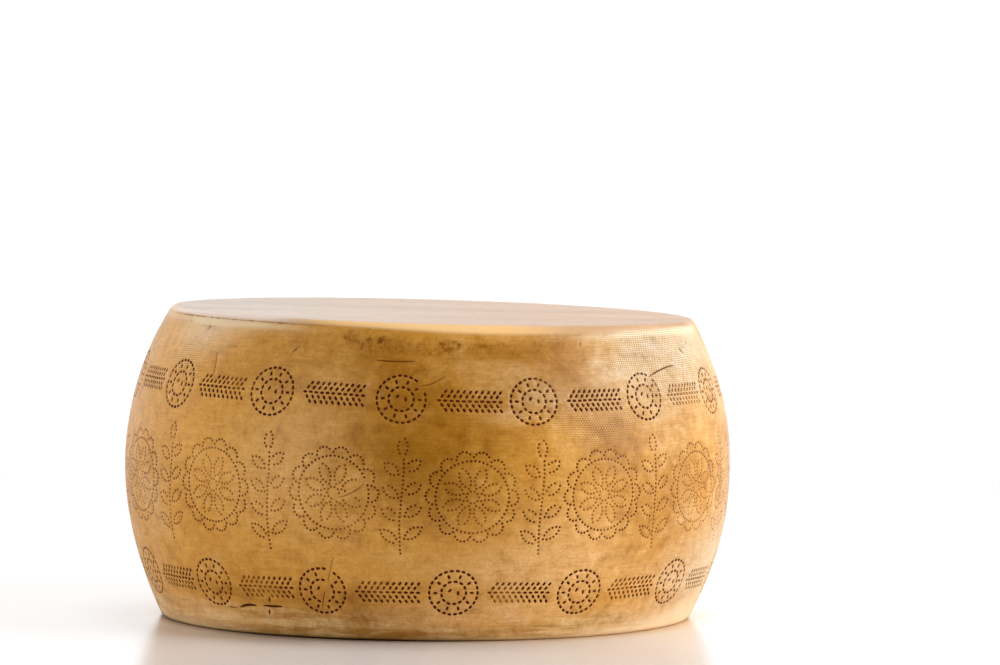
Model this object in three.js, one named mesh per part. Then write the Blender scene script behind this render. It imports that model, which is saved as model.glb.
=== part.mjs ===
// A whole wheel of hard, aged cheese lying on one of its two flat faces.
// The side is a barrel, widest at half height and drawn in to a rim at the top and at the base.
// Lengths are in millimetres, +Z is up, and the front of the wheel faces -Y.
// The origin is on the floor, under the middle of the wheel's bounding box.
import * as THREE from 'three';
import { ParametricGeometry } from 'three/addons/geometries/ParametricGeometry.js';
import { mergeVertices } from 'three/addons/utils/BufferGeometryUtils.js';

// The barrel: its side follows a parabola, with its own radius of curvature below and above the equator.
const barrel = {
  height: 215.6,
  equatorRadius: 214.7,
  equatorHeight: 109,
  lowerCurve: 214,
  upperCurve: 187,
};

// The rims are rounded. The top one is crisp at the back and softest at the front, a little to the right.
const baseRim = { radius: 4.8 };
const topRim = { radius: 5.3, softening: 7.7, softestAt: THREE.MathUtils.degToRad(-77), falloff: 8 };

// How the wheel has settled in its mould and on the shelf: the top falls towards +X, and the axis is bent.
const settling = { tilt: 0.0216, topLean: 2.7, baseLean: 1.2 };

// The hand-made unevenness of the side and of the top face, as slow waves.
const unevenness = {
  side: 0.35,
  sideWaves: 3,
  sidePhase: 0.7,
  turnsUpTheSide: 1.5,
  top: 0.4,
  topWaves: 2,
  topPhase: 1.1,
  dish: 0.9,
};

const rind = { colour: 0xc08a3e, roughness: 0.55 };

// Divisions round the wheel, and of each stretch of the profile from the middle of the base to that of the top.
const segmentsRound = 120;
const steps = { baseFace: 2, baseRim: 4, side: 20, topRim: 4, topFace: 5 };
const totalSteps = Object.values(steps).reduce((sum, count) => sum + count, 0);

// Radius of the bare barrel at height z.
function barrelRadius(z) {
  const fromEquator = z - barrel.equatorHeight;
  const curve = fromEquator < 0 ? barrel.lowerCurve : barrel.upperCurve;
  return barrel.equatorRadius - fromEquator ** 2 / (2 * curve);
}

// A rim's rounding, an arc that meets the flat face and the leaning side smoothly.
// flatRadius is where the face ends, turn the angle that the arc goes through, and depth how far it reaches.
function rimArc(radius, faceHeight, curve) {
  const lean = Math.atan(Math.abs(faceHeight - barrel.equatorHeight) / curve);
  const turn = Math.PI / 2 - lean;
  const flatRadius = barrelRadius(faceHeight) - radius * Math.tan(turn / 2);
  return { radius, turn, flatRadius, depth: radius * (1 - Math.cos(turn)) };
}

// Radius of the top rim's rounding at an azimuth.
function topRimRadius(azimuth) {
  const facing = Math.max(0, Math.cos(azimuth - topRim.softestAt));
  return topRim.radius + topRim.softening * facing ** topRim.falloff;
}

// Radius and height of the profile's point at a step, before the wheel settles.
function profilePoint(step, azimuth) {
  const base = rimArc(baseRim.radius, 0, barrel.lowerCurve);
  const top = rimArc(topRimRadius(azimuth), barrel.height, barrel.upperCurve);
  let share = step / steps.baseFace;
  if (share <= 1) {
    return { radius: base.flatRadius * share, height: 0 };
  }
  share = (step - steps.baseFace) / steps.baseRim;
  if (share <= 1) {
    const angle = base.turn * share;
    return {
      radius: base.flatRadius + base.radius * Math.sin(angle),
      height: base.radius * (1 - Math.cos(angle)),
    };
  }
  share = (step - steps.baseFace - steps.baseRim) / steps.side;
  if (share <= 1) {
    const height = THREE.MathUtils.lerp(base.depth, barrel.height - top.depth, share);
    return { radius: barrelRadius(height), height };
  }
  share = (step - steps.baseFace - steps.baseRim - steps.side) / steps.topRim;
  if (share <= 1) {
    const angle = top.turn * (1 - share);
    return {
      radius: top.flatRadius + top.radius * Math.sin(angle),
      height: barrel.height - top.radius * (1 - Math.cos(angle)),
    };
  }
  share = (totalSteps - step) / steps.topFace;
  return { radius: top.flatRadius * share, height: barrel.height };
}

// Moves a profile point outwards by the side's waves, which die out at the rims.
function sideWave(height, azimuth) {
  const share = height / barrel.height;
  const fade = Math.sin(Math.PI * share);
  const turn = unevenness.sideWaves * azimuth + unevenness.sidePhase;
  return unevenness.side * fade * Math.sin(turn + 2 * Math.PI * unevenness.turnsUpTheSide * share);
}

// Moves a point of the top face up or down: a shallow dish with slow waves, none of it at the rim.
function topWave(radius, height, azimuth) {
  if (height < barrel.height) {
    return 0;
  }
  const inward = 1 - (radius / barrelRadius(barrel.height)) ** 2;
  const wave = unevenness.top * Math.sin(unevenness.topWaves * azimuth + unevenness.topPhase);
  return -unevenness.dish * inward + wave * inward * (1 - inward) * 4;
}

// The wheel's surface: across is the share of a turn round the axis, and along runs over the profile.
function wheelSurface(across, along, target) {
  const azimuth = 2 * Math.PI * (across % 1);
  const { radius, height } = profilePoint(Math.round(along * totalSteps), azimuth);
  const reach = radius + sideWave(height, azimuth);
  const x = reach * Math.cos(azimuth);
  const y = reach * Math.sin(azimuth);
  const above = Math.max(0, height - barrel.equatorHeight) / (barrel.height - barrel.equatorHeight);
  const below = Math.max(0, barrel.equatorHeight - height) / barrel.equatorHeight;
  const lean = settling.topLean * above ** 2 - settling.baseLean * below ** 2;
  const fall = (1 - settling.tilt * x / barrel.height);
  target.set(x + lean, y, (height + topWave(radius, height, azimuth)) * fall);
}

// Welds a surface's seam and poles, and drops the triangles that the poles leave without area.
function weld(surface) {
  surface.deleteAttribute('normal');
  surface.deleteAttribute('uv');
  const welded = mergeVertices(surface);
  const corners = welded.getIndex().array;
  const kept = [];
  for (let i = 0; i < corners.length; i += 3) {
    const [a, b, c] = corners.slice(i, i + 3);
    if (a !== b && b !== c && c !== a) {
      kept.push(a, b, c);
    }
  }
  welded.setIndex(kept);
  welded.computeVertexNormals();
  return welded;
}

// Puts the origin under the middle of the bounding box.
function centreOverOrigin(geometry) {
  geometry.computeBoundingBox();
  const middle = geometry.boundingBox.getCenter(new THREE.Vector3());
  geometry.translate(-middle.x, -middle.y, 0);
  return geometry;
}

function makeWheel() {
  const surface = new ParametricGeometry(wheelSurface, segmentsRound, totalSteps);
  const material = new THREE.MeshStandardMaterial({ color: rind.colour, roughness: rind.roughness, metalness: 0 });
  const wheel = new THREE.Mesh(centreOverOrigin(weld(surface)), material);
  wheel.name = 'cheese_wheel';
  return wheel;
}

const cheese = new THREE.Group();
cheese.add(makeWheel());

export default cheese;
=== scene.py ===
"""A whole wheel of hard, aged cheese, lying on a pale floor.

The rind is one closed mesh. Its side is drawn flat as a plan, filled with points, joined into triangles
and rolled up, so that each pricked mark of the ornament is a real pit. Two discs that share the side's
edges close it. The plan is in millimetres: across runs round the wheel at the equator, and up runs along
the side from the base face. Everything else is in metres. Angles are in radians where nothing says degrees.
"""
import bpy
import numpy as np
from mathutils import Matrix, Vector
from mathutils.geometry import delaunay_2d_cdt


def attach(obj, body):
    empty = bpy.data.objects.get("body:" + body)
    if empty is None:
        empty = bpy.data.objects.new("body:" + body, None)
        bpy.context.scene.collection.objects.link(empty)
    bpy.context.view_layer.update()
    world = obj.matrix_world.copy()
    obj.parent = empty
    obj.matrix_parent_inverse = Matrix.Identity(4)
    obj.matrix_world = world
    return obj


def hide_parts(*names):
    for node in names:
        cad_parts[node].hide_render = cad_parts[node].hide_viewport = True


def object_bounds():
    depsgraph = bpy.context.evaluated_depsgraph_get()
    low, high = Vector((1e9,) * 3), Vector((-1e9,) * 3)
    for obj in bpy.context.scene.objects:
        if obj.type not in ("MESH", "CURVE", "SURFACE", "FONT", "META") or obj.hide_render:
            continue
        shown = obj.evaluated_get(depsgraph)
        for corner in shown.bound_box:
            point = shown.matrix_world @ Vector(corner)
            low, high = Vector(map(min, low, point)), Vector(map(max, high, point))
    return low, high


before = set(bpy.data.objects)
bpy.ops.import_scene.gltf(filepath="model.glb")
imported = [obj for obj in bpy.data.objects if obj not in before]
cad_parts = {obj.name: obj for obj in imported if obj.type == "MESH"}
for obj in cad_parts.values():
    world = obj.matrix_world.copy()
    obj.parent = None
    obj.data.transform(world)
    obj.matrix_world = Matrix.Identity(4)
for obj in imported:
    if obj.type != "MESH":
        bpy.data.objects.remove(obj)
cad_low, cad_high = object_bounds()

MM = 0.001
TURN = 2 * np.pi

# The barrel, and its radii of curvature below and above the equator.
EQUATOR_RADIUS = (cad_high.x - cad_low.x) / 2
EQUATOR_HEIGHT = 109 * MM
HEIGHT = 215.6 * MM
LOWER_CURVE = 214 * MM
UPPER_CURVE = 187 * MM

# The rims' roundings. The top one is softest at the front, a little to the right.
BASE_RIM = 4.8 * MM
TOP_RIM = 5.3 * MM
TOP_RIM_SOFTENING = 7.7 * MM
SOFTEST_AT = np.radians(-77)
SOFTENING_FALLOFF = 8

# How the wheel has settled, and the slow waves of its side and top face.
TILT = 0.0216
TOP_LEAN = 2.7 * MM
BASE_LEAN = 1.2 * MM
SIDE_WAVE = 0.35 * MM
SIDE_WAVES_ROUND = 3
SIDE_PHASE = 0.7
TURNS_UP_THE_SIDE = 1.5
TOP_WAVE = 0.4 * MM
TOP_WAVES_ROUND = 2
TOP_PHASE = 1.1
DISH = 0.9 * MM

# Finer unevenness of the side: two depths, their wavelengths in plan millimetres, and the stretch at each
# rim over which both fade.
SLOW_RELIEF = 0.2 * MM
SLOW_RELIEF_LENGTH = 110
FINE_RELIEF = 0.07 * MM
FINE_RELIEF_LENGTH = 26
RELIEF_FADE = 14

# The azimuth at which the side is cut open, at the back.
SEAM_AZIMUTH = np.pi / 2


def barrel_radius(height):
    """Radius of the bare barrel: the equator's, less the squared height from it over twice the curve."""
    from_equator = height - EQUATOR_HEIGHT
    curve = np.where(from_equator < 0, LOWER_CURVE, UPPER_CURVE)
    return EQUATOR_RADIUS - from_equator**2 / (2 * curve)


def rim_arc(radius, face_height, curve):
    """Turn, flat face's radius and depth of the arc that meets a face and the leaning side smoothly."""
    turn = np.pi / 2 - np.arctan(abs(face_height - EQUATOR_HEIGHT) / curve)
    flat = barrel_radius(face_height) - radius * np.tan(turn / 2)
    return turn, flat, radius * (1 - np.cos(turn))


def top_rim_radius(azimuth):
    """Radius of the top rim's rounding: the crisp one, plus a cosine's power where the rim is softest."""
    facing = np.clip(np.cos(azimuth - SOFTEST_AT), 0, None)
    return TOP_RIM + TOP_RIM_SOFTENING * facing**SOFTENING_FALLOFF


def profile(station, azimuth):
    """Radius and height of the bare wheel at a station along its profile.

    Stations 0 to 1 cross the base face, 1 to 2 follow the base rim's arc, 2 to 3 the side's parabola, 3 to
    4 the top rim's arc, and 4 to 5 cross the top face back to the axis.
    """
    base_turn, base_flat, base_depth = rim_arc(BASE_RIM, 0.0, LOWER_CURVE)
    top_rim = top_rim_radius(azimuth)
    top_turn, top_flat, top_depth = rim_arc(top_rim, HEIGHT, UPPER_CURVE)
    base_angle = base_turn * np.clip(station - 1, 0, 1)
    top_angle = top_turn * np.clip(4 - station, 0, 1)
    side_height = base_depth + (HEIGHT - top_depth - base_depth) * np.clip(station - 2, 0, 1)
    zones = [station < 1, station < 2, station <= 3, station <= 4]
    radius = np.select(zones, [
        base_flat * station,
        base_flat + BASE_RIM * np.sin(base_angle),
        barrel_radius(side_height),
        top_flat + top_rim * np.sin(top_angle),
    ], top_flat * (5 - station))
    height = np.select(zones, [
        0 * station,
        BASE_RIM * (1 - np.cos(base_angle)),
        side_height,
        HEIGHT - top_rim * (1 - np.cos(top_angle)),
    ], HEIGHT)
    return radius, height


def surface(station, azimuth):
    """Points of the settled wheel.

    The side swells by slow waves that fade at the rims, and the top face sinks to a dish with waves of its
    own. The axis leans by squares of the height from the equator, and heights shrink in proportion to x.
    """
    radius, height = profile(station, azimuth)
    share = height / HEIGHT
    turn = SIDE_WAVES_ROUND * azimuth + SIDE_PHASE + TURN * TURNS_UP_THE_SIDE * share
    reach = radius + SIDE_WAVE * np.sin(np.pi * share) * np.sin(turn)
    x = reach * np.cos(azimuth)
    y = reach * np.sin(azimuth)
    above = np.clip((height - EQUATOR_HEIGHT) / (HEIGHT - EQUATOR_HEIGHT), 0, None)
    below = np.clip((EQUATOR_HEIGHT - height) / EQUATOR_HEIGHT, 0, None)
    inward = np.where(station > 4, 1 - (radius / barrel_radius(HEIGHT)) ** 2, 0)
    wave = TOP_WAVE * np.sin(TOP_WAVES_ROUND * azimuth + TOP_PHASE) * inward * (1 - inward) * 4
    z = (height - DISH * inward + wave) * (1 - TILT * x / HEIGHT)
    return np.stack([x + TOP_LEAN * above**2 - BASE_LEAN * below**2, y, z], axis=-1)


def outward(station, azimuth):
    """Unit normals: the cross product of a small step round the wheel and one along the profile."""
    step = 1e-4
    around = surface(station, azimuth + step) - surface(station, azimuth - step)
    along = surface(station + step, azimuth) - surface(station - step, azimuth)
    normal = np.cross(around, along)
    return normal / np.linalg.norm(normal, axis=-1, keepdims=True)


# The table that turns a distance up the side into a station, taken at the back, where the top rim is crisp.
# Then the plan's size, where the front's middle lies across it, and how far up the top rim's arc starts.
SIDE_STATIONS = np.linspace(1, 4, 2401)
SIDE_PROFILE = np.stack(profile(SIDE_STATIONS, SOFTEST_AT + np.pi), axis=-1)
SIDE_LENGTHS = np.append(0, np.cumsum(np.linalg.norm(np.diff(SIDE_PROFILE, axis=0), axis=1))) / MM
PLAN_WIDTH = TURN * EQUATOR_RADIUS / MM
PLAN_HEIGHT = SIDE_LENGTHS[-1]
FRONT = PLAN_WIDTH / 2
RIM_EDGE = np.interp(3, SIDE_STATIONS, SIDE_LENGTHS)


def up_the_side(height):
    """Distance along the side, in plan millimetres, at which the wheel has a height."""
    return np.interp(height, SIDE_PROFILE[:, 1], SIDE_LENGTHS)


def azimuth_of(across):
    """Azimuth of a place across the plan, which starts and ends at the seam."""
    return SEAM_AZIMUTH + across / PLAN_WIDTH * TURN


def ramp(value, low, high):
    """A straight rise from 0 at low to 1 at high, level outside them."""
    return np.clip((value - low) / (high - low), 0, 1)


def hump(value, middle, half_width, power=2):
    """A hump: 1 at the middle, and 1/e at a half width from it. A higher power makes it flatter on top."""
    return np.exp(-(((value - middle) / half_width) ** power))


def slow_noise(across, up, seed, wavelength, count=14):
    """Smooth noise over the plan, mostly -1 to 1: a sum of sines, each of whole waves round the wheel."""
    random = np.random.default_rng(seed)
    heading = random.uniform(0, TURN, count)
    length = wavelength * random.uniform(0.6, 1.7, count)
    around = np.round(PLAN_WIDTH / length * np.cos(heading)) / PLAN_WIDTH
    rise = np.sin(heading) / length
    phase = random.uniform(0, 1, count)
    turns = across[:, None] * around + up[:, None] * rise + phase
    return np.sin(TURN * turns).sum(axis=1) / np.sqrt(count)


def spots(across, up, rows):
    """Sum of soft spots: each is its strength times e to the minus squared distance, in half sizes."""
    total = np.zeros_like(across)
    for x, y, wide, tall, strength in rows:
        total += strength * np.exp(-(((across - x) / wide) ** 2) - ((up - y) / tall) ** 2)
    return total


# The ornament goes round the wheel this many times. Its bands are given by their height on the side.
REPEATS = 14
LOWER_BAND = 35 * MM
MIDDLE_BAND = 102 * MM
UPPER_BAND = 168 * MM

# A mark's half length and half width at its mouth, and half the distance between its two deepest points,
# then the distances from mark to mark along a line, in millimetres.
DASH = (1.74, 1.1, 0.75)
DOT = (0.98, 0.98, 0.0)
DASH_PITCH = 4.0
DOT_PITCH = 2.75
RING_PITCH = 2.9
EYE_PITCH = 2.7
STEM_PITCH = 2.85

# The columns of a table of marks: across and up the plan, heading, the three numbers of a kind, and tone. A
# motif has the first three alone, and is drawn about its own middle, with x to the right and y up.
PLACE = slice(0, 2)
ACROSS, UP, HEADING, HALF_LENGTH, HALF_WIDTH, HALF_FLOOR, TONE = range(7)


def arc(centre, radius, start, end, count=60):
    """Points on a circle's arc, with both angles in degrees."""
    angle = np.radians(np.linspace(start, end, count))
    return np.stack([centre[0] + radius * np.cos(angle), centre[1] + radius * np.sin(angle)], axis=-1)


def turned(points, degrees):
    """Points turned anticlockwise about the origin."""
    cos, sin = np.cos(np.radians(degrees)), np.sin(np.radians(degrees))
    return points @ [[cos, sin], [-sin, cos]]


def stipple(path, pitch, closed=False):
    """Places and headings of marks along a path, at equal shares of its length that are near one pitch."""
    step = np.diff(path, axis=0)
    run = np.append(0, np.cumsum(np.hypot(*step.T)))
    count = max(1, round(run[-1] / pitch))
    at = np.linspace(0, run[-1], count + 1)[: count + (not closed)]
    reach = min(0.4, run[-1] / 4)

    def place(shift):
        on_path = np.clip(at + shift, 0, run[-1])
        return np.stack([np.interp(on_path, run, axis) for axis in path.T], axis=-1)

    along = place(reach) - place(-reach)
    return np.column_stack([place(0), np.arctan2(along[:, 1], along[:, 0])])


def spoked_wheel():
    """Two rings of dashes joined by ten spokes of a dash each, about a tiny ring."""
    rings = (16.5, 8.4, 3.1)
    spoke_radius = 12.4
    paths = [stipple(arc((0, 0), radius, 0, 360), DASH_PITCH, closed=True) for radius in rings]
    angle = np.radians(np.arange(0, 360, 36))
    spokes = np.column_stack([spoke_radius * np.cos(angle), spoke_radius * np.sin(angle), angle])
    return np.concatenate([*paths, spokes])


def garland(length, leaves, slant):
    """A level stem of dashes with rows of slanting leaves above and below it, each leaf two dashes long."""
    pitch = length / leaves
    at = (np.arange(leaves) + 0.5) * pitch - length / 2
    rows = [np.column_stack([at, 0 * at, 0 * at])]
    for side in (1, -1):
        for reach in (DASH_PITCH, 2 * DASH_PITCH):
            x = at[:-1] + pitch / 2 + (reach - DASH_PITCH) * np.cos(slant)
            rows.append(np.column_stack([x, 0 * x + side * reach * np.sin(slant), 0 * x + side * slant]))
    return np.concatenate(rows)


def leaf(length, width):
    """An almond: two arcs whose chord is the length, and whose sagittas add up to the width."""
    sagitta = width / 2
    radius = (length**2 / 4 + sagitta**2) / (2 * sagitta)
    half_angle = np.degrees(np.arcsin(length / 2 / radius))
    drop = radius - sagitta
    lower = arc((length / 2, drop), radius, 270 - half_angle, 270 + half_angle)
    upper = arc((length / 2, -drop), radius, 90 - half_angle, 90 + half_angle)
    return np.concatenate([lower, upper])


def daisy_edge(radius, scallops):
    """A ring with a scalloped edge: each scallop is nearly a half circle, a little off the ring."""
    stand_off = 1.8
    paths = [stipple(arc((0, 0), radius, 0, 360, 200), RING_PITCH, closed=True)]
    half_angle = np.pi / scallops
    bump = arc((radius * np.cos(half_angle) + stand_off, 0), radius * np.sin(half_angle), -80, 80)
    paths += [stipple(turned(bump, 360 * i / scallops), DOT_PITCH) for i in range(scallops)]
    return np.concatenate(paths)


def daisy_petals(petals):
    """Almond petals about a small ring."""
    eye_radius = 4.2
    petal = leaf(15, 7.2) + [6.6, 0]
    paths = [stipple(arc((0, 0), eye_radius, 0, 360), EYE_PITCH, closed=True)]
    for i in range(petals):
        paths.append(stipple(turned(petal, 360 * (i + 0.5) / petals), DOT_PITCH, closed=True))
    return np.concatenate(paths)


def sprig(height, pairs):
    """An upright, gently waved stem with pairs of almond leaves, shorter towards the top, and a bud."""
    sway = 1.1
    bud_length = 13
    leaf_length, leaf_width, shortening = 14.5, 6.4, 0.8
    first_leaf, bare_stem = 9, 33
    from_stem, stagger = 2.4, 1.5
    stem_y = np.linspace(-height / 2, height / 2 - bud_length - 2, 80)
    paths = [stipple(np.stack([sway * np.sin(TURN * stem_y / height), stem_y], axis=-1), STEM_PITCH)]
    for i in range(pairs):
        foot = -height / 2 + first_leaf + i * (height - bare_stem) / (pairs - 1)
        blade = turned(leaf(leaf_length - shortening * i, leaf_width), 36) + [from_stem, 0]
        for side in (1, -1):
            paths.append(stipple(blade * [side, 1] + [0, foot + stagger * side], DOT_PITCH, closed=True))
    bud = turned(leaf(bud_length, 6.6), 90) + [0, height / 2 - bud_length]
    paths.append(stipple(bud, DOT_PITCH, closed=True))
    return np.concatenate(paths)


def thin_out(marks, margin):
    """Drops each mark whose mouth comes within the margin of an earlier one's, where two lines meet.

    A mouth counts as the strip within its half width of its long axis, and the axis as its ends and middle.
    """
    reach = np.clip(marks[:, HALF_LENGTH] - marks[:, HALF_WIDTH], 0, None)[:, None] * [-1, 0, 1]
    axis = np.stack([np.cos(marks[:, HEADING]), np.sin(marks[:, HEADING])], axis=-1)
    spine = marks[:, None, PLACE] + reach[..., None] * axis[:, None]
    gap = np.linalg.norm(spine[:, None, :, None] - spine[None, :, None], axis=-1).min(axis=(2, 3))
    close = gap < marks[:, HALF_WIDTH] + marks[:, None, HALF_WIDTH] + margin
    kept = np.ones(len(marks), bool)
    for i in range(1, len(marks)):
        kept[i] = not (close[i, :i] & kept[:i]).any()
    return marks[kept]


def band_motifs():
    """Each motif once: marks, kind of mark, band, place in the repeat as a share, and tone of the marks."""
    return [
        (spoked_wheel(), DASH, LOWER_BAND, 0.21, 1.0),
        (garland(46, 11, 0.95), DASH, LOWER_BAND, 0.71, 1.0),
        (spoked_wheel(), DASH, UPPER_BAND, 0.78, 0.95),
        (garland(46, 11, 0.95), DASH, UPPER_BAND, 0.29, 0.95),
        (daisy_edge(25, 14), DOT, MIDDLE_BAND, 0.32, 0.75),
        (daisy_petals(8), DOT, MIDDLE_BAND, 0.32, 0.5),
        (sprig(80, 4), DOT, MIDDLE_BAND, 0.82, 0.65),
    ]


# How unevenly the ornament is printed: the spread of a print's turn and of its shift, the most that a mark
# is off its place, and the least margin between two marks' mouths, in plan millimetres.
PRINT_TURN = 0.018
PRINT_SHIFT = 0.5
MARK_SHIFT = 0.13
MARK_MARGIN = 0.45

# Soft spots of the plan where the print has faded: place, half width, half height and strength of each.
FADED_SPOTS = [(930, 60, 60, 60, 0.4), (930, 160, 70, 40, 0.3), (590, 100, 50, 26, 0.3)]


def ornament(random):
    """The table of all the marks on the plan.

    The motifs that share a place are one stencil, which is nudged and turned a little at each print. The
    tone falls where the print has faded, and varies by slow noise and by a draw for each mark.
    """
    stencils = {}
    for marks, kind, band, share, tone in band_motifs():
        rows = np.hstack([marks, np.tile([*kind, tone], (len(marks), 1))])
        stencils.setdefault((band, share), []).append(rows)
    prints = []
    for (band, share), rows in stencils.items():
        stencil = thin_out(np.concatenate(rows), MARK_MARGIN)
        for repeat in range(REPEATS):
            angle = random.normal(0, PRINT_TURN)
            printed = stencil.copy()
            shift = random.normal(0, PRINT_SHIFT, 2)
            printed[:, PLACE] = turned(stencil[:, PLACE], np.degrees(angle)) + shift
            printed[:, HEADING] += angle
            printed[:, ACROSS] = printed[:, ACROSS] * EQUATOR_RADIUS / barrel_radius(band)
            printed[:, PLACE] += [(repeat + share) * PLAN_WIDTH / REPEATS, up_the_side(band)]
            prints.append(printed)
    marks = np.concatenate(prints)
    across, up = marks[:, ACROSS], marks[:, UP]
    faded = slow_noise(across, up, seed=31, wavelength=60)
    marks[:, TONE] *= np.clip(0.86 + 0.26 * faded, 0.35, 1.05) * random.uniform(0.8, 1.08, len(marks))
    marks[:, TONE] *= 1 - spots(across, up, FADED_SPOTS)
    marks[:, PLACE] += random.uniform(-MARK_SHIFT, MARK_SHIFT, (len(marks), 2))
    marks[:, [HALF_LENGTH, HALF_WIDTH]] *= random.uniform(0.94, 1.02, (len(marks), 1))
    return marks


# The corners of a pit's mouth, its full depth, and the least share of that for a faint one.
PIT_SIDES = 8
PIT_DEPTH = 0.75 * MM
FAINTEST_DEPTH = 0.4


def mark_pits(marks):
    """Each mark's mouth, a blunt oval of its half length and half width, and its two deepest points."""
    angle = (np.arange(PIT_SIDES) + 0.5) * TURN / PIT_SIDES
    bluntness = 0.8
    along = np.sign(np.cos(angle)) * np.abs(np.cos(angle)) ** bluntness * marks[:, HALF_LENGTH, None]
    beside = np.sign(np.sin(angle)) * np.abs(np.sin(angle)) ** bluntness * marks[:, HALF_WIDTH, None]
    cos, sin = np.cos(marks[:, HEADING, None]), np.sin(marks[:, HEADING, None])
    place = marks[:, None, PLACE]
    mouth = place + np.stack([along * cos - beside * sin, along * sin + beside * cos], axis=-1)
    half = marks[:, HALF_FLOOR, None] * [-1, 1]
    floor = place + np.stack([half * cos, half * sin], axis=-1)
    return mouth, floor


# Nicks and scratches, each from one place of the plan to another in millimetres, then how far it bows to
# its left, its half width, and its tone. These are on the front. More are scattered over the other sides.
SCRATCHES = [
    (510, 22.4, 521, 22.2, 0.2, 0.5, 0.6),
    (522, 22.6, 541, 25.2, 1.5, 1.3, 0.95),
    (545, 25.8, 564, 26.0, -0.2, 1.1, 1.0),
    (552, 27.9, 553.4, 33.5, 0.1, 1.0, 0.95),
    (551, 23.9, 549.5, 18.5, 0.1, 1.0, 0.95),
    (596, 25.5, 600, 40.5, 0.2, 0.6, 0.5),
    (602.5, 44.5, 609, 66, 0.5, 0.45, 0.2),
    (495, 200.5, 500, 180.5, 0.4, 0.5, 0.3),
    (565, 202, 571, 209, -0.4, 0.6, 0.6),
    (632, 202, 664, 203, -0.6, 0.9, 0.45),
    (664, 185, 686, 194.5, -2.4, 0.6, 0.42),
    (854, 189.5, 893, 197, 1.5, 0.8, 0.6),
    (907, 210, 916, 203.5, 0.3, 0.9, 0.6),
    (612, 105.5, 632, 117, -1.5, 0.6, 0.35),
    (795, 220, 793, 214.5, 0.3, 0.9, 0.4),
]

# A scratch's share of a pit's depth along its middle, and of its own tone at its edge.
SCRATCH_DEPTH_SHARE = 0.8
SCRATCH_EDGE_TONE = 0.4

# How far a scattered scratch stays from the seam, its middle stays from the others' ends, and its far end is
# up the side, in plan millimetres.
SEAM_CLEARANCE = 8
SCRATCH_CLEARANCE = 30
LOWEST_END = 12
HIGHEST_END = 210


def scattered_scratches(random, count=30):
    """Scratches like those of the front at random places of the other sides, each clear of the rest."""
    rows = []
    ends = np.array([row[:2] for row in SCRATCHES] + [row[2:4] for row in SCRATCHES])
    for _ in range(count):
        start = np.array([random.uniform(-430, 250) % PLAN_WIDTH, random.uniform(14, 206)])
        heading = random.choice([0.1, 0.6, 1.4, 2.6]) + random.normal(0, 0.2)
        length = random.uniform(5, 26)
        end = start + length * np.array([np.cos(heading), np.sin(heading)])
        bow = random.normal(0, 1.2)
        half_width = random.uniform(0.5, 1.0)
        tone = random.uniform(0.3, 0.75)
        left, right = min(start[0], end[0]), max(start[0], end[0])
        inside = SEAM_CLEARANCE < left and right < PLAN_WIDTH - SEAM_CLEARANCE
        clear = np.hypot(*(ends - (start + end) / 2).T).min() > SCRATCH_CLEARANCE
        if inside and clear and LOWEST_END < end[1] < HIGHEST_END:
            rows.append((*start, *end, bow, half_width, tone))
            ends = np.vstack([ends, start, end])
    return rows


def scratch_pit(start_x, start_y, end_x, end_y, bow, half_width, tone):
    """A scratch's middle line, tone and outline, a spindle: the half width falls to both ends by a root."""
    spacing = 2.2
    chord = np.array([end_x - start_x, end_y - start_y])
    length = np.hypot(*chord)
    beside = np.array([-chord[1], chord[0]]) / length
    t = np.linspace(0, 1, max(4, int(length / spacing)))[:, None]
    line = [start_x, start_y] + t * chord + 4 * t * (1 - t) * bow * beside
    reach = half_width * (1 - (2 * t[1:-1] - 1) ** 2) ** 0.5 * beside
    outline = np.concatenate([line[:1], line[1:-1] - reach, line[-1:], (line[1:-1] + reach)[::-1]])
    return line[1:-1], outline, tone


# How far the marks' middles stay from a scratch's points, and the loose ground points from both, in plan
# millimetres.
PIT_CLEARANCE = 2.4


def clear_of(points, blockers, reach):
    """True for each point with no blocker near it, read off a raster of the plan with fine cells."""
    cell = 0.5
    columns, rows = int(PLAN_WIDTH / cell) + 2, int(PLAN_HEIGHT / cell) + 2
    taken = np.zeros((columns, rows), bool)
    steps = int(reach / cell)
    offset = np.arange(-steps, steps + 1)
    near = np.stack(np.meshgrid(offset, offset), axis=-1).reshape(-1, 2)
    near = near[np.hypot(*near.T) * cell <= reach]
    cells = (np.floor(blockers[:, None] / cell).astype(int) + near).reshape(-1, 2)
    cells = np.clip(cells, 0, [columns - 1, rows - 1])
    taken[cells[:, 0], cells[:, 1]] = True
    at = np.clip((points / cell).astype(int), 0, [columns - 1, rows - 1])
    return ~taken[at[:, 0], at[:, 1]]


# The fold line under the top rim on the left of the front: its height on the plan, its two ends, how long a
# stretch it fades over to each, and its depth.
CREASE_UP = 224.2
CREASE_START, CREASE_END = 392, 600
CREASE_FADES_IN, CREASE_FADES_OUT = 30, 50
CREASE_DEPTH = 0.55 * MM


def crease(across, up):
    """Share of the fold line's depth, which only its own row of the plan's points has."""
    starts = ramp(across, CREASE_START, CREASE_START + CREASE_FADES_IN)
    ends = ramp(CREASE_END - across, 0, CREASE_FADES_OUT)
    return starts * ends * (np.abs(up - CREASE_UP) < 0.2)


def side_relief(across, up):
    """How far the side stands proud of the barrel, in metres: slow and fine noise, less the fold line."""
    edge = ramp(np.minimum(up, PLAN_HEIGHT - up), 0, RELIEF_FADE)
    slow = SLOW_RELIEF * slow_noise(across, up, seed=11, wavelength=SLOW_RELIEF_LENGTH)
    fine = FINE_RELIEF * slow_noise(across, up, seed=12, wavelength=FINE_RELIEF_LENGTH, count=24)
    return (slow + fine) * edge - CREASE_DEPTH * crease(across, up)


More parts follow.
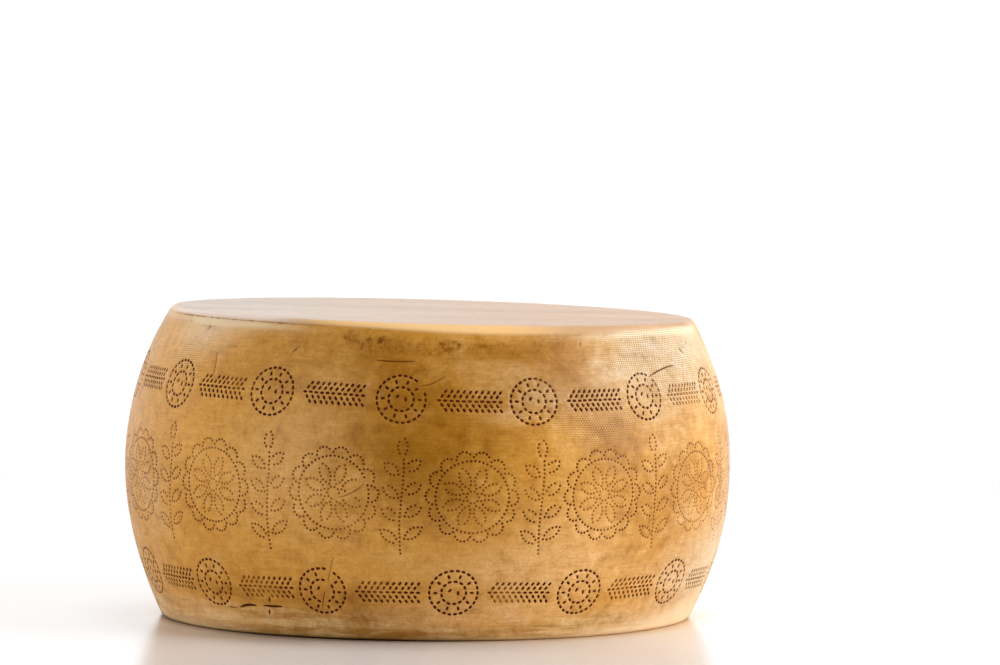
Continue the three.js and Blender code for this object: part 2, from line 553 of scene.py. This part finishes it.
# The plan's ground, in millimetres: the close rows at both rims and the columns across them, the loose grid
# between, and the number of points on the seam from one rim's rows to the other's.
ROW_SPACING = 0.85
COLUMN_SPACING = 3.6
ROWS_AT_BASE = 11
ROWS_BESIDE_CREASE = 8
LOOSE_SPACING = 5.0
LOOSE_JITTER = 1.2
SEAM_POINTS = 60


def grid(across, up):
    """All the points with one of the values across and one of those up."""
    return np.stack(np.meshgrid(across, up), axis=-1).reshape(-1, 2)


def ground_points(random):
    """Plan points between the marks: the close rows at both rims, the loose grid, and the seam."""
    low_rows = np.arange(ROWS_AT_BASE) * ROW_SPACING
    high_rows = CREASE_UP + np.arange(-ROWS_BESIDE_CREASE, ROWS_BESIDE_CREASE) * ROW_SPACING
    high_rows = np.append(high_rows[high_rows < PLAN_HEIGHT - ROW_SPACING / 2], PLAN_HEIGHT)
    rim_up = np.concatenate([low_rows, high_rows])
    columns = round(PLAN_WIDTH / COLUMN_SPACING)
    rims = grid(np.arange(1, columns) * PLAN_WIDTH / columns, rim_up)
    side_up = np.arange(low_rows[-1] + 3, high_rows[0] - 2, LOOSE_SPACING)
    side = grid(np.arange(4, PLAN_WIDTH - 4, LOOSE_SPACING), side_up)
    side += random.uniform(-LOOSE_JITTER, LOOSE_JITTER, side.shape)
    seam_up = np.unique(np.concatenate([rim_up, np.linspace(low_rows[-1], high_rows[0], SEAM_POINTS)]))
    return rims, side, np.stack([np.zeros_like(seam_up), seam_up], axis=-1)


def triangles_of(points, edges=()):
    """Triangles of a flat set of points, as compact as can be with the given edges kept."""
    result = delaunay_2d_cdt([Vector(p) for p in points], [tuple(e) for e in edges], [], 0, 1e-6, False)
    assert len(result[0]) == len(points), "two plan points or edges meet"
    return np.array(result[2])


def draw_plan(random):
    """The plan's points, each with its share of a pit's depth and its tone, and the loops kept as edges.

    The points are the seam, the ground, the marks' deepest points and mouths, and each scratch's middle
    line and outline. The mouths and outlines are the loops.
    """
    marks = ornament(random)
    scratches = [scratch_pit(*row) for row in SCRATCHES + scattered_scratches(random)]
    scratched = np.concatenate([np.concatenate([line, outline]) for line, outline, _ in scratches])
    marks = marks[clear_of(marks[:, PLACE], scratched, PIT_CLEARANCE)]
    mouth, floor = mark_pits(marks)
    dots = marks[:, HALF_FLOOR] == 0
    floor_points = np.concatenate([floor[dots, 0], floor[~dots].reshape(-1, 2)])
    floor_tone = np.concatenate([marks[dots, TONE], np.repeat(marks[~dots, TONE], 2)])
    rims, side, seam = ground_points(random)
    side = side[clear_of(side, np.concatenate([marks[:, PLACE], scratched]), PIT_CLEARANCE)]

    drawn = [(points, 0.0, 0.0) for points in (seam, rims, side)]
    drawn.append((floor_points, 1.0, floor_tone))
    first = sum(len(points) for points, _, _ in drawn)
    loops = list(first + np.arange(mouth.size // 2).reshape(-1, PIT_SIDES))
    drawn.append((mouth.reshape(-1, 2), 0.0, np.repeat(marks[:, TONE], PIT_SIDES)))
    for line, outline, tone in scratches:
        first = sum(len(points) for points, _, _ in drawn) + len(line)
        loops.append(first + np.arange(len(outline)))
        drawn += [(line, SCRATCH_DEPTH_SHARE, tone), (outline, 0.0, tone * SCRATCH_EDGE_TONE)]
    points = np.concatenate([points for points, _, _ in drawn])
    pit = np.concatenate([np.full(len(points), share) for points, share, _ in drawn])
    tone = np.concatenate([np.full(len(points), tone) for points, _, tone in drawn])
    return points, pit, tone, loops


def build_side(random):
    """The side as points with their attributes, its triangles, and the plan place of each corner.

    The seam's points, which come first, are drawn again at the plan's far edge. Numbered past the plan's
    end, these copies are welded to the first ones.
    """
    plan, pit, tone, loops = draw_plan(random)
    across, up = plan.T
    far_edge = plan[across == 0] + [PLAN_WIDTH, 0]
    edges = np.concatenate([np.stack([loop, np.roll(loop, -1)], axis=-1) for loop in loops])
    corners = np.concatenate([plan, far_edge])
    triangles = triangles_of(corners, edges)
    station = np.interp(up, SIDE_LENGTHS, SIDE_STATIONS)
    azimuth = azimuth_of(across)
    lift = side_relief(across, up) - PIT_DEPTH * pit * np.clip(tone, FAINTEST_DEPTH, 1)
    points = surface(station, azimuth) + outward(station, azimuth) * lift[:, None]
    return points, triangles % len(plan), corners[triangles] / PLAN_WIDTH, pit, tone, plan


# A flat face's points, in millimetres: how far apart they are, and how far the outermost are from the rim.
FACE_SPACING = 10.97
FACE_MARGIN = 4.2


def build_face(rim_plan, top):
    """A flat face's inner points, its triangles, and all its points laid flat, in millimetres.

    The rim's points come first. The inner ones lie on a sunflower spiral of even spacing.
    """
    rim_azimuth = azimuth_of(rim_plan[:, 0])
    flat_radius = profile(4.0, SOFTEST_AT)[0] / MM
    count = int(np.pi * (flat_radius / FACE_SPACING) ** 2)
    index = np.arange(count) + 0.5
    share = np.sqrt(index / count) * (1 - FACE_MARGIN / flat_radius)
    azimuth = index * np.pi * (3 - np.sqrt(5))
    station = 5 - share if top else share
    flat = np.concatenate([np.stack([np.cos(rim_azimuth), np.sin(rim_azimuth)], axis=-1),
                           np.stack([share * np.cos(azimuth), share * np.sin(azimuth)], axis=-1)])
    triangles = triangles_of(flat)
    return surface(station, azimuth), triangles if top else triangles[:, ::-1], flat * flat_radius


# Where the two faces lie on the UV map, clear of the side's strip.
FACE_UV = {True: (0.2, 0.5), False: (0.6, 0.5)}

# Soft spots of the front: place on the plan, half width, half height and strength of each.
# The wide, low amber spot at 540 across and 3 up is painted shade along the foot.
AMBER_SPOTS = [
    (679, 178, 85, 14, 0.42), (661, 146, 58, 32, 0.72), (717, 150, 24, 15, 0.24), (680, 107, 58, 26, 0.52),
    (781, 203, 38, 34, 0.52), (806, 149, 27, 24, 0.58), (839, 98, 40, 66, 0.42), (550, 185, 30, 15, 0.36),
    (634, 26, 80, 20, 0.43), (505, 36, 80, 9, 0.4), (736, 212, 34, 9, 0.5), (643, 204, 60, 15, 0.55),
    (940, 130, 68, 66, 0.36), (815, 14, 34, 6, 0.46), (540, 3, 110, 5, 0.2), (615, 14, 55, 8, 0.14),
    (885, 19, 46, 8, 0.36), (880, 118, 26, 50, 0.22), (705, 210, 26, 10, 0.24), (745, 198, 22, 10, 0.14),
    (675, 9, 50, 5, 0.2), (605, 38, 30, 10, 0.15),
]
GOLD_SPOTS = [
    (752, 54, 88, 18, 0.68), (894, 20, 56, 8, 1.2), (705, 22, 88, 11, 1.1), (479, 17, 88, 9, 0.74),
    (571, 119, 74, 50, 0.52), (784, 78, 70, 36, 0.58), (460, 208, 46, 16, 0.9), (612, 186, 22, 12, 0.3),
    (880, 44, 18, 10, 0.3),
]
PALE_SPOTS = [
    (864, 208, 50, 56, 0.7), (941, 218, 38, 46, 0.86), (470, 230, 40, 16, 0.5), (757, 184, 76, 28, 0.42),
    (923, 44, 68, 48, 0.58), (790, 226, 60, 8, 0.4), (985, 110, 40, 60, 0.5), (438, 95, 26, 50, 0.3),
    (505, 57, 24, 14, 0.15), (463, 192, 30, 20, 0.15), (880, 118, 26, 50, 0.15),
]
CHALKY_SPOTS = [
    (940, 210, 44, 18, 0.4), (905, 7, 58, 11, 0.9), (955, 30, 40, 40, 0.5), (500, 221, 60, 3.5, 0.6),
    (472, 216, 38, 14, 0.55), (830, 3, 110, 4, 0.6), (455, 6, 60, 6, 0.55), (870, 44, 20, 14, 0.12),
    (852, 4, 50, 5, 0.5),
]
BROWN_SPOTS = [
    (474, 215.5, 10, 1.8, 1.6), (572, 214, 24, 5, 0.18), (611, 217.5, 5, 4, 1.0), (639, 216.5, 17, 3, 1.2),
    (690, 217, 9, 2.2, 0.9), (716, 217, 14, 2.4, 0.7), (645, 212, 50, 4, 0.5), (745, 214, 20, 3, 0.35),
    (785, 206, 8, 4, 0.4), (660, 194, 30, 6, 0.25), (560, 21, 30, 5, 0.3), (845, 30, 40, 3, 0.25),
    (900, 28, 34, 4, 0.3), (625, 24, 12, 14, 0.4),
]
CLOTH_SPOTS = [
    (880, 200, 74, 40, 0.9), (800, 178, 50, 34, 0.55), (470, 196, 60, 30, 0.5), (440, 150, 40, 50, 0.3),
    (600, 190, 70, 30, 0.2), (795, 153, 46, 16, 0.3),
]


def rind_patches(across, up):
    """Shares of amber, gold, pale, brown with the fold's painted shade, and cloth.

    They are placed spots on the front, and slow noise elsewhere.
    """
    elsewhere = ramp(np.abs(across - FRONT), 290, 340)
    near_top = hump(up, 210, 16)
    near_base = hump(up, 12, 10)
    cloud = slow_noise(across, up, seed=41, wavelength=100)
    haze = slow_noise(across, up, seed=42, wavelength=120)
    glow = slow_noise(across, up, seed=43, wavelength=110)
    smear = slow_noise(across, up * 3, seed=21, wavelength=45)
    amber = spots(across, up, AMBER_SPOTS) + elsewhere * np.clip(0.28 + 0.36 * cloud, 0, 0.72)
    gold = spots(across, up, GOLD_SPOTS) + elsewhere * np.clip(0.3 + 0.5 * glow + 0.6 * near_base, 0, 0.9)
    pale = spots(across, up, PALE_SPOTS) + elsewhere * np.clip(0.1 + 0.3 * haze + 0.4 * near_top, 0, 0.6)
    brown_and_crease_shade = spots(across, up, BROWN_SPOTS) + 0.35 * ramp(smear, 0.3, 1.3) * near_top
    # The fold line is added to the brown as painted shade in its groove.
    brown_and_crease_shade = np.clip(brown_and_crease_shade, 0, 1) + 0.9 * crease(across, up)
    print_left = np.clip(0.4 + 0.6 * haze, 0, 0.9) * ramp(up, 54, 144)
    cloth = spots(across, up, CLOTH_SPOTS) + elsewhere * print_left
    return {"amber": amber, "gold": gold, "pale": pale, "brown_and_crease_shade": brown_and_crease_shade, "cloth": cloth}


def rim_tones(across, up):
    """How far a point belongs to the top face and its rounding, its painted highlight, and its chalky colour
    and painted reflection.

    The rounding has a golden painted highlight at the front, carried faintly round the back, a pale painted
    reflection on the left, and a little of both on the right; the side is chalky just under it on the right
    and left.
    """
    face = ramp(up, RIM_EDGE - 0.6, RIM_EDGE + 0.6)
    rounding = face * ramp(PLAN_HEIGHT - up, 0, 1.5)
    under = hump(up, RIM_EDGE - 3.0, 2.6)
    front = hump(across, 668, 104, 6)
    shoulder = hump(across, 830, 85, 6)
    right = hump(across, 885, 78, 4)
    left = hump(across, 470, 95, 6)
    noise = np.clip(0.6 + 0.8 * slow_noise(across, up, seed=51, wavelength=70), 0, 1)
    back = ramp(np.abs(across - FRONT), 270, 320) * noise
    # The rounding's golden painted highlight: full at the front, faint on the right shoulder, and round the
    # back.
    rim_highlight = (front + 0.2 * shoulder * (1 - front) + 0.7 * back) * rounding
    # Chalky colour under the rim and at the chalky spots, and a pale painted reflection on the rounding,
    # mostly on the left.
    chalk_and_reflection = (left * (1 - front) + 0.18 * shoulder) * rounding + (right + 0.5 * left + 0.5 * back) * under
    chalk_and_reflection = np.clip(chalk_and_reflection + spots(across, up, CHALKY_SPOTS) * (1 - face), 0, 1)
    return {"face": face, "rim_highlight": rim_highlight, "chalk_and_reflection": chalk_and_reflection}


def put(name, data):
    """An object of its own for a mesh, light or camera, linked into the scene."""
    thing = bpy.data.objects.new(name, data)
    bpy.context.scene.collection.objects.link(thing)
    return thing


def build_rind(name):
    """The whole rind as one closed mesh: the side, then both faces stitched to its edge rows.

    Its box is centred over the middle of the CAD's.
    """
    random = np.random.default_rng(7)
    points, triangles, uv, pit, tone, plan = build_side(random)
    layers = {"pit": pit, "tone": tone, **rind_patches(*plan.T), **rim_tones(*plan.T)}
    for top in (False, True):
        rim = np.flatnonzero(plan[:, 1] == (PLAN_HEIGHT if top else 0))
        rim = rim[np.argsort(plan[rim, 0])]
        inner, flat_triangles, flat = build_face(plan[rim], top)
        index = np.concatenate([rim, len(points) + np.arange(len(inner))])
        points = np.concatenate([points, inner])
        triangles = np.concatenate([triangles, index[flat_triangles]])
        uv = np.concatenate([uv, flat[flat_triangles] / PLAN_WIDTH + FACE_UV[top]])
    middle = (points.max(axis=0) + points.min(axis=0)) / 2
    points[:, :2] += np.array((cad_low + cad_high) / 2)[:2] - middle[:2]
    mesh = bpy.data.meshes.new(name)
    mesh.from_pydata(points.tolist(), [], triangles.tolist())
    mesh.uv_layers.new(name="plan").data.foreach_set("uv", uv.astype(np.float32).ravel())
    for label, values in layers.items():
        on_faces = np.full(len(points) - len(plan), 1.0 if label == "face" else 0.0)
        layer = mesh.attributes.new(label, "FLOAT", "POINT")
        layer.data.foreach_set("value", np.concatenate([values, on_faces]).astype(np.float32))
    mesh.shade_smooth()
    return put(name, mesh)


class Tree:
    """A node tree with short calls: each adds a node, fills or links its inputs, and gives one output."""

    def __init__(self, tree):
        self.tree = tree

    def add(self, kind, inputs=None, output=0, **settings):
        node = self.tree.nodes.new("ShaderNode" + kind)
        for name, value in settings.items():
            setattr(node, name, value)
        for key, value in (inputs or {}).items():
            if isinstance(value, bpy.types.NodeSocket):
                self.tree.links.new(value, node.inputs[key])
            else:
                node.inputs[key].default_value = value
        return node.outputs[output] if node.outputs else None

    def math(self, operation, *values, clamp=False):
        return self.add("Math", dict(enumerate(values)), operation=operation, use_clamp=clamp)

    def times(self, first, second, clamp=False):
        return self.math("MULTIPLY", first, second, clamp=clamp)

    def part(self, vector, axis):
        return self.add("SeparateXYZ", {"Vector": vector}, output=axis)

    def noise(self, place, scale, detail=3.0, roughness=0.5, distortion=0.0):
        return self.add("TexNoise", {
            "Vector": place, "Scale": scale, "Detail": detail, "Roughness": roughness,
            "Distortion": distortion,
        })

    def stretch(self, place, scale):
        return self.add("Mapping", {"Vector": place, "Scale": scale})

    def rise(self, value, low, high, bottom=0.0, top=1.0):
        """A smooth step: bottom below low, top above high."""
        return self.add("MapRange", {
            "Value": value, "From Min": low, "From Max": high, "To Min": bottom, "To Max": top,
        }, interpolation_type="SMOOTHSTEP")

    def mix(self, share, first, second, blend="MIX"):
        """A mix of two colours, whose sockets go by number, as other kinds of value have the same names."""
        inputs = {"Factor": share, 6: first, 7: second}
        return self.add("Mix", inputs, output=2, data_type="RGBA", blend_type=blend)


def blank_material(name):
    """A new material, and its emptied node tree."""
    material = bpy.data.materials.new(name)
    material.use_nodes = True
    material.node_tree.nodes.clear()
    return material, Tree(material.node_tree)


def srgb(red, green, blue):
    """A colour given as on screen, 0 to 255, in the linear values that shaders read."""
    value = np.array([red, green, blue]) / 255
    linear = np.where(value <= 0.04045, value / 12.92, ((value + 0.055) / 1.055) ** 2.4)
    return (*linear, 1.0)


# The side's colours, from its ground to what lies on it.
HONEY = srgb(226, 161, 66)
DEEP_HONEY = srgb(215, 150, 56)
DRIP = srgb(188, 122, 34)
STREAK = srgb(192, 128, 40)
DRY_CREAM = srgb(246, 210, 142)
DRY_TAN = srgb(192, 144, 72)
GOLD = srgb(239, 181, 106)
PALE = srgb(213, 185, 141)
AMBER = srgb(166, 106, 12)
CHALK = srgb(248, 222, 182)
# Painted shade at the foot, and the painted contact shadow under it.
FOOT_SHADE = srgb(92, 62, 14)
CONTACT_SHADOW = srgb(32, 12, 0)
# Brown smudges, and painted shade along the fold line.
SMUDGE_AND_CREASE_SHADE = srgb(150, 88, 12)
PEPPER = srgb(104, 50, 0)
MARK_EDGE = srgb(136, 72, 14)
MARK_CORE = srgb(76, 28, 3)

# The faces' colours, each pair lighter and darker, the grey pair a painted shadow and reflection,
# and those of the top rim's rounding, a pale painted reflection and a golden painted highlight.
FACE_SHADOW_REFLECTION_GREY = (srgb(192, 164, 136), srgb(174, 145, 118))
FACE_TAN = (srgb(202, 150, 92), srgb(186, 134, 78))
RIM_REFLECTION_PALE = srgb(246, 222, 206)
RIM_HIGHLIGHT_GOLD = srgb(255, 203, 134)

# What a colour is multiplied by where it deepens or lightens, and in the print's hollows and on its ridges.
DEEPER = (0.55, 0.42, 0.16, 1)
LIGHTER = (1.22, 1.45, 2.3, 1)
THREAD_HOLLOW = (0.42, 0.3, 0.2, 1)
THREAD_RIDGE = (1.22, 1.36, 1.55, 1)

# The cloth's print: the dots' wavelength across in plan millimetres, its share of their wavelength up, and
# the ribs' height as a share of the dots'.
THREAD_PITCH = 2.2
ACROSS_TO_UP = 0.72
RIB_SHARE = 0.38


def cloth_group():
    """The pressing cloth's print: staggered dots, as crossing threads leave, or ribs, worn away in patches.

    The dots are the product of two waves, one across and one up, which wander a little over the plan. The
    ribs are one wave up, and they show alone where the dots fade.
    """
    group = bpy.data.node_groups.new("cloth print", "ShaderNodeTree")
    for name, kind in (("Plan", "Vector"), ("Pitch", "Float"), ("Cover", "Float"), ("Dotted", "Float")):
        group.interface.new_socket(name, in_out="INPUT", socket_type="NodeSocket" + kind)
    group.interface.new_socket("Height", in_out="OUTPUT", socket_type="NodeSocketFloat")
    tree = Tree(group)
    given = group.nodes.new("NodeGroupInput").outputs
    wander = tree.noise(given["Plan"], 30, 2)
    both_ways = tree.add("CombineXYZ", {"X": wander, "Y": wander})
    shift = tree.add("VectorMath", {0: both_ways, "Scale": 0.003}, operation="SCALE")
    place = tree.add("VectorMath", {0: given["Plan"], 1: shift})
    x, y = tree.part(place, "X"), tree.part(place, "Y")
    threads = tree.math("DIVIDE", TURN, given["Pitch"])
    across = tree.math("SINE", tree.times(x, threads))
    up = tree.math("SINE", tree.times(y, tree.times(threads, ACROSS_TO_UP)))
    ribs = tree.math("SINE", tree.times(y, tree.times(threads, 2 * ACROSS_TO_UP)))
    dots = tree.times(tree.times(across, up), given["Dotted"])
    height = tree.math("ADD", dots, tree.times(ribs, RIB_SHARE))
    worn = tree.noise(tree.stretch(given["Plan"], (1, 1.5, 1)), 13, 4, 0.6)
    left = tree.rise(tree.math("ADD", worn, given["Cover"]), 0.5, 0.66)
    out = group.nodes.new("NodeGroupOutput").inputs
    group.links.new(tree.times(height, left), out["Height"])
    return group


def two_sided(tree, noise, spread, share, colour):
    """A colour that deepens where a noise is over its middle, and lightens where it is under it."""
    deep = tree.mix(tree.rise(noise, 0.5, 0.5 + spread, 0, share), colour, DEEPER, "MULTIPLY")
    return tree.mix(tree.rise(noise, 0.5, 0.5 - spread, 0, share), deep, LIGHTER, "MULTIPLY")


def patch(tree, layer, noise, amount):
    """A soft mask: a layer whose outline is broken up by a noise, upside down if its amount is negative."""
    return tree.rise(tree.math("MULTIPLY_ADD", noise, amount, layer), amount / 2, 1 + amount / 2)


def side_colour(tree, place, plan, layers, height):
    """Honey with golden, pale and amber patches, streaks that run round, drips, and a dry band at the base.

    The foot has painted shade and a painted contact shadow where it meets the floor, least on the side that
    the light reaches.
    """
    squat = tree.stretch(place, (1, 1, 1.5))
    broad = tree.noise(squat, 7, 4, 0.55, 0.5)
    blotch = tree.noise(squat, 26, 5, 0.6, 0.5)
    fine = tree.noise(place, 110, 4, 0.6)
    grain = tree.noise(place, 520, 3, 0.6)
    streaks = tree.noise(tree.stretch(plan, (1, 9, 1)), 26, 4, 0.6, 0.3)
    scrapes = tree.noise(tree.stretch(plan, (1, 14, 1)), 60, 3, 0.6, 0.2)
    drips = tree.noise(tree.stretch(plan, (9, 1, 1)), 22, 4, 0.6, 0.4)
    colour = tree.mix(tree.rise(broad, 0.36, 0.66), HONEY, DEEP_HONEY)
    colour = tree.mix(tree.rise(drips, 0.54, 0.74, 0, 0.22), colour, DRIP)
    colour = tree.mix(tree.rise(streaks, 0.54, 0.74, 0, 0.3), colour, STREAK)
    dry = tree.mix(tree.rise(streaks, 0.42, 0.62), DRY_CREAM, DRY_TAN)
    colour = tree.mix(tree.rise(height, 0.026, 0.013, 0.0, 0.85), colour, dry)
    colour = tree.mix(patch(tree, layers["gold"], blotch, 0.6), colour, GOLD)
    colour = tree.mix(patch(tree, layers["pale"], blotch, -0.6), colour, PALE)
    mottle = tree.math("MULTIPLY_ADD", tree.math("SUBTRACT", fine, 0.5), 0.6, blotch)
    colour = tree.mix(patch(tree, layers["amber"], mottle, 0.7), colour, AMBER)
    mottles = [(blotch, 0.24, 0.24), (fine, 0.24, 0.36), (scrapes, 0.22, 0.24), (grain, 0.22, 0.3)]
    for noise, spread, share in mottles:
        colour = two_sided(tree, noise, spread, share, colour)
    # Painted shade and a painted contact shadow at the foot, both weaker towards the lit right.
    shaded = tree.rise(tree.part(place, "X"), -0.02, 0.09, 1.0, 0.2)
    colour = tree.mix(tree.times(tree.rise(height, 0.0065, 0.002, 0.0, 0.4), shaded), colour, FOOT_SHADE)
    return tree.mix(tree.times(tree.rise(height, 0.0024, 0.0005), shaded), colour, CONTACT_SHADOW)


def face_colour(tree, place, layers):
    """The flat faces: a grey painted shadow and reflection on the left, tan on the right, mottled, and
    banded as if by shelf boards.
    """
    boards = tree.noise(tree.stretch(place, (2, 10, 1)), 2.2, 4, 0.55, 0.3)
    grey, tan = (tree.mix(tree.rise(boards, 0.36, 0.64), *pair) for pair in (FACE_SHADOW_REFLECTION_GREY, FACE_TAN))
    # Grey on the left is painted shadow and reflection.
    colour = tree.mix(tree.rise(tree.part(place, "X"), -0.16, 0.12), grey, tan)
    colour = two_sided(tree, tree.noise(place, 34, 5, 0.62, 0.5), 0.24, 0.26, colour)
    colour = two_sided(tree, tree.noise(place, 240, 4, 0.65), 0.22, 0.32, colour)
    # The rounding's pale painted reflection, then its golden painted highlight.
    colour = tree.mix(layers["chalk_and_reflection"], colour, RIM_REFLECTION_PALE)
    return tree.mix(layers["rim_highlight"], colour, RIM_HIGHLIGHT_GOLD)


def with_cloth_print(tree, plan, layers, side):
    """The print's height on the side, and the side's colour with the print's hollows and ridges."""
    cloth = tree.add("Group", {
        "Plan": plan, "Pitch": THREAD_PITCH / PLAN_WIDTH,
        "Cover": tree.rise(layers["cloth"], 0.0, 0.7, -0.02, 0.16),
        "Dotted": tree.rise(layers["cloth"], 0.45, 0.8, 0.1, 1.0),
    }, output="Height", node_tree=cloth_group())
    weave = tree.times(cloth, tree.math("SUBTRACT", 1.0, layers["face"]))
    crisp = tree.rise(layers["cloth"], 0.0, 0.8, 0.16, 0.95)
    side = tree.mix(tree.times(tree.rise(weave, 0.1, -0.8), crisp), side, THREAD_HOLLOW, "MULTIPLY")
    side = tree.mix(tree.times(tree.rise(weave, 0.0, 0.8), crisp), side, THREAD_RIDGE, "MULTIPLY")
    return weave, side


def rind_material():
    """The golden rind: blotched and streaked colour, cloth print, dark pricked marks and a waxy sheen."""
    material, tree = blank_material("golden rind")
    place = tree.add("TexCoord", output="Object")
    plan = tree.add("UVMap", uv_map="plan")
    names = ("pit", "tone", "amber", "gold", "pale", "brown_and_crease_shade", "cloth", "face", "rim_highlight", "chalk_and_reflection")
    layers = {name: tree.add("Attribute", output="Fac", attribute_name=name) for name in names}
    height = tree.part(place, "Z")
    side = side_colour(tree, place, plan, layers, height)
    # On the side this layer is chalky colour; its painted reflection shows on the rounding, through the
    # faces' colours.
    side = tree.mix(tree.times(layers["chalk_and_reflection"], 0.8), side, CHALK)
    weave, side = with_cloth_print(tree, plan, layers, side)

    # Brown smudges and pepper specks, which also paint shade along the fold line.
    spotty = tree.noise(place, 230, 3, 0.65)
    smear = tree.times(layers["brown_and_crease_shade"], tree.rise(spotty, 0.3, 0.62, 0.25, 0.85), clamp=True)
    side = tree.mix(smear, side, SMUDGE_AND_CREASE_SHADE)
    pepper = tree.times(layers["brown_and_crease_shade"], tree.rise(spotty, 0.53, 0.61), clamp=True)
    side = tree.mix(tree.times(pepper, 0.75), side, PEPPER)
    colour = tree.mix(layers["face"], side, face_colour(tree, place, layers))

    inked = tree.rise(layers["tone"], 0.1, 0.9, 0.35, 1.0)
    colour = tree.mix(tree.times(tree.rise(layers["pit"], 0.0, 0.12), inked, clamp=True), colour, MARK_EDGE)
    colour = tree.mix(tree.times(tree.rise(layers["pit"], 0.1, 0.4), inked, clamp=True), colour, MARK_CORE)

    wax = tree.times(tree.rise(layers["pit"], 0.0, 0.3, 0.45, 0.05), tree.rise(height, 0.001, 0.005))
    wax = tree.times(wax, tree.rise(pepper, 0.0, 0.8, 1.0, 0.2))
    rough = tree.noise(place, 150, 3, 0.6)
    coarse = tree.times(rough, tree.rise(layers["face"], 0.0, 1.0, 1.8, 0.5))
    bump = tree.add("Bump", {
        "Strength": 0.5, "Distance": 0.12 * MM, "Height": tree.math("ADD", weave, coarse),
    })
    side_gloss = tree.rise(rough, 0.3, 0.7, 0.38, 0.5)
    face_gloss = tree.rise(rough, 0.3, 0.7, 0.28, 0.34)
    shader = tree.add("BsdfPrincipled", {
        "Base Color": colour, "Roughness": tree.mix(layers["face"], side_gloss, face_gloss), "Normal": bump,
        "IOR": 1.12, "Coat Weight": wax, "Coat Roughness": 0.4, "Coat IOR": 1.45,
    })
    tree.add("OutputMaterial", {"Surface": shader})
    return material


# Half the floor's side, its warm colour under and round the wheel's foot, a painted bounce of the rind's
# light, and its colour elsewhere, the distances from the middle between which the one turns into the other,
# and those between which the floor fades out.
FLOOR_HALF = 1.7
FLOOR_PAINTED_BOUNCE = srgb(232, 208, 182)
FLOOR_WHITE = srgb(238, 236, 236)
BOUNCE_ENDS = (0.187, 0.206)
FLOOR_FADES = (1.0, 1.6)


def floor_material():
    """Pale, softly polished studio floor, which gives way to the white surroundings away from the wheel."""
    material, tree = blank_material("pale floor")
    place = tree.add("TexCoord", output="Object")
    distance = tree.add("VectorMath", {0: place}, output="Value", operation="LENGTH")
    shader = tree.add("BsdfPrincipled", {
        # Warm under and round the wheel's foot, a painted bounce of the rind's light.
        "Base Color": tree.mix(tree.rise(distance, *BOUNCE_ENDS), FLOOR_PAINTED_BOUNCE, FLOOR_WHITE),
        "Roughness": 0.2, "IOR": 1.5, "Alpha": tree.rise(distance, *FLOOR_FADES, 1.0, 0.0),
    })
    tree.add("OutputMaterial", {"Surface": shader})
    return material


def make_floor():
    """A square stretch of floor under and about the wheel, which fades out in a ring."""
    corners = [(x * FLOOR_HALF, y * FLOOR_HALF, 0) for x, y in ((-1, -1), (1, -1), (1, 1), (-1, 1))]
    mesh = bpy.data.meshes.new("floor")
    mesh.from_pydata(corners, [], [(0, 1, 2, 3)])
    mesh.materials.append(floor_material())
    put("floor", mesh)


def softbox(name, place, watts, height=1.5):
    """A rectangular area light at a place, turned to the wheel's middle."""
    target = Vector((0, 0, 0.1))
    light = bpy.data.lights.new(name, "AREA")
    light.shape = "RECTANGLE"
    light.size, light.size_y = 1.2, height
    light.energy = watts
    lamp = put(name, light)
    lamp.location = place
    lamp.rotation_euler = (target - Vector(place)).to_track_quat("-Z", "Y").to_euler()


def light_scene():
    """White surroundings that light the wheel from behind, softboxes on either side, and one overhead.

    The camera sees the surroundings white on every side.
    """
    world = bpy.data.worlds.new("studio")
    world.use_nodes = True
    world.node_tree.nodes.clear()
    tree = Tree(world.node_tree)
    direction = tree.add("TexCoord", output="Generated")
    behind = tree.rise(tree.part(direction, "Y"), -0.25, 0.25, 0.0, 1.4)
    low = tree.rise(tree.part(direction, "Z"), 0.1, 0.9, 1.0, 0.4)
    shown = tree.add("Background", {"Color": (1, 1, 1, 1), "Strength": 1.05})
    fill = tree.add("Background", {"Color": (1, 1, 1, 1), "Strength": tree.times(behind, low)})
    seen = tree.add("LightPath", output="Is Camera Ray")
    tree.add("OutputWorld", {"Surface": tree.add("MixShader", {0: seen, 1: fill, 2: shown})})
    bpy.context.scene.world = world
    softbox("right softbox", (1.86, -0.5, 0.8), 35)
    softbox("high right softbox", (1.3, -0.23, 1.67), 5)
    softbox("left softbox", (-1.48, -1.24, 0.8), 15)
    softbox("high softbox", (0.1, 0.1, 2.2), 10, height=0.5)


# The camera, as fitted to the photograph: where it stands, its lens, and how it is turned.
CAMERA_DISTANCE = 4.0
CAMERA_HEIGHT = 0.4063
CAMERA_LENS = 203.2
CAMERA_YAW = np.radians(0.7246)
CAMERA_PITCH = np.radians(2.9415)
CAMERA_ROLL = np.radians(0.418)


def make_camera():
    """A long lens in front of the wheel, turned right, down and slightly anticlockwise."""
    data = bpy.data.cameras.new("camera")
    data.lens = CAMERA_LENS
    data.sensor_width = 36
    camera = put("camera", data)
    level = Matrix.Rotation(np.pi / 2 - CAMERA_PITCH, 4, "X")
    aim = Matrix.Rotation(-CAMERA_YAW, 4, "Z") @ level @ Matrix.Rotation(CAMERA_ROLL, 4, "Z")
    camera.matrix_world = Matrix.Translation((0, -CAMERA_DISTANCE, CAMERA_HEIGHT)) @ aim
    bpy.context.scene.camera = camera
    bpy.context.scene.view_settings.view_transform = "Standard"


make_camera()
light_scene()
make_floor()

rind = build_rind("golden_rind")
rind.data.materials.append(rind_material())
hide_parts("cheese_wheel")
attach(rind, "root")
